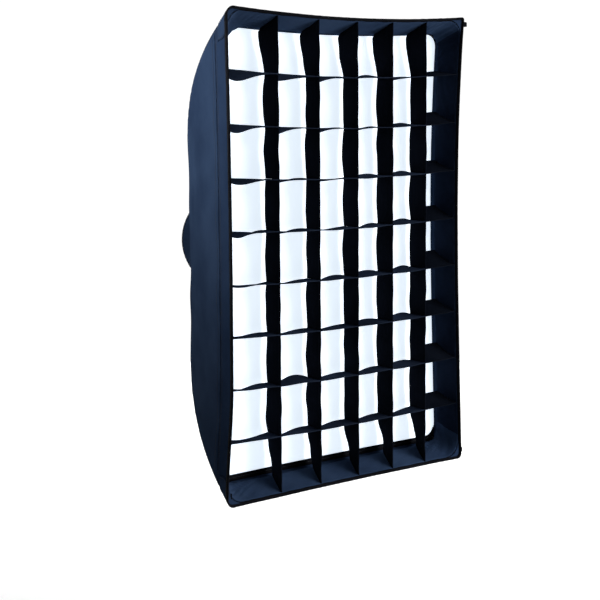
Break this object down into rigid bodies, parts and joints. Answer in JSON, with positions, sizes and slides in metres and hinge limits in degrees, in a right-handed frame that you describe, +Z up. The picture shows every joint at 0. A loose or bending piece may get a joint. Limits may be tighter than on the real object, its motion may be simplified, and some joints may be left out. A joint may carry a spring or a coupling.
{
  "type": "softbox",
  "caption": "Rectangular cloth softbox on sprung rods and a turning speed ring, with inner baffle, front diffuser and peel-off egg-crate grid, for a studio flash head.",
  "frame": {"origin": "centre of the adapter's seat on the flash head, on the axis of the speed ring", "axes": "+Y back along the optical axis into the flash head (the box opens towards -Y); +Z up along the box's long side; +X to the right seen from the front"},
  "size_m": [0.618, 0.4635, 0.9033],
  "materials": {
    "shell_cloth": "tightly woven coated nylon, slight sheen, silver-coated inside",
    "black_cloth": "matt black webbing and nylon",
    "white_cloth": "translucent white nylon",
    "ring_metal": "cast and turned, satin",
    "screw_steel": "zinc-plated",
    "rod_paint": "black spring steel, satin",
    "tip_rubber": "matt moulded",
    "knob_plastic": "moulded, fine grain"
  },
  "bodies": {
    "flash_adapter": {"bayonet_adapter": "ring_metal", "retaining_ring": "ring_metal", "retaining_screw_1": "screw_steel", "retaining_screw_2": "screw_steel", "retaining_screw_3": "screw_steel"},
    "box": {"speed_ring": "ring_metal", "rod_socket_1": "ring_metal", "rod_socket_2": "ring_metal", "rod_socket_3": "ring_metal", "rod_socket_4": "ring_metal", "rod_1": "rod_paint", "rod_2": "rod_paint", "rod_3": "rod_paint", "rod_4": "rod_paint", "rod_tip_1": "tip_rubber", "rod_tip_2": "tip_rubber", "rod_tip_3": "tip_rubber", "rod_tip_4": "tip_rubber", "panel_top": "shell_cloth", "panel_bottom": "shell_cloth", "panel_left": "shell_cloth", "panel_right": "shell_cloth", "corner_seam_1": "black_cloth", "corner_seam_2": "black_cloth", "corner_seam_3": "black_cloth", "corner_seam_4": "black_cloth", "rear_collar": "shell_cloth", "front_band": "shell_cloth", "edge_binding": "black_cloth", "corner_pocket_1": "shell_cloth", "corner_pocket_2": "shell_cloth", "corner_pocket_3": "shell_cloth", "corner_pocket_4": "shell_cloth", "diffuser_ledge": "black_cloth", "grid_hook_strip": "black_cloth"},
    "lock_screw_top": {"lock_screw_1": "knob_plastic"},
    "lock_screw_bottom": {"lock_screw_2": "knob_plastic"},
    "baffle": {"inner_baffle": "white_cloth", "baffle_strap_1": "black_cloth", "baffle_strap_2": "black_cloth", "baffle_strap_3": "black_cloth", "baffle_strap_4": "black_cloth"},
    "front_diffuser": {"diffuser": "white_cloth", "diffuser_hem": "black_cloth"},
    "grid": {"grid_frame": "shell_cloth", "grid_upright_1": "black_cloth", "grid_upright_2": "black_cloth", "grid_upright_3": "black_cloth", "grid_upright_4": "black_cloth", "grid_upright_5": "black_cloth", "grid_level_1": "black_cloth", "grid_level_2": "black_cloth", "grid_level_3": "black_cloth", "grid_level_4": "black_cloth", "grid_level_5": "black_cloth", "grid_level_6": "black_cloth", "grid_level_7": "black_cloth", "grid_level_8": "black_cloth"}
  },
  "joints": [
    {"name": "box_turn", "type": "hinge", "parent": "flash_adapter", "child": "box", "pos_m": [0, -0.0143, 0], "axis": [0, -1, 0], "continuous": true},
    {"name": "lock_screw_top_turn", "type": "hinge", "parent": "box", "child": "lock_screw_top", "pos_m": [0, -0.0143, 0.1], "axis": [0, 0, 1], "range_deg": [0, 360]},
    {"name": "lock_screw_bottom_turn", "type": "hinge", "parent": "box", "child": "lock_screw_bottom", "pos_m": [0, -0.0143, -0.1], "axis": [0, 0, -1], "range_deg": [0, 360]},
    {"name": "baffle_unhook", "type": "slide", "parent": "box", "child": "baffle", "axis": [0, -1, 0], "range_m": [0, 0.3]},
    {"name": "diffuser_peel", "type": "slide", "parent": "baffle", "child": "front_diffuser", "axis": [0, -1, 0], "range_m": [0, 0.2]},
    {"name": "grid_peel", "type": "slide", "parent": "front_diffuser", "child": "grid", "axis": [0, -1, 0], "range_m": [0, 0.2]}
  ]
}
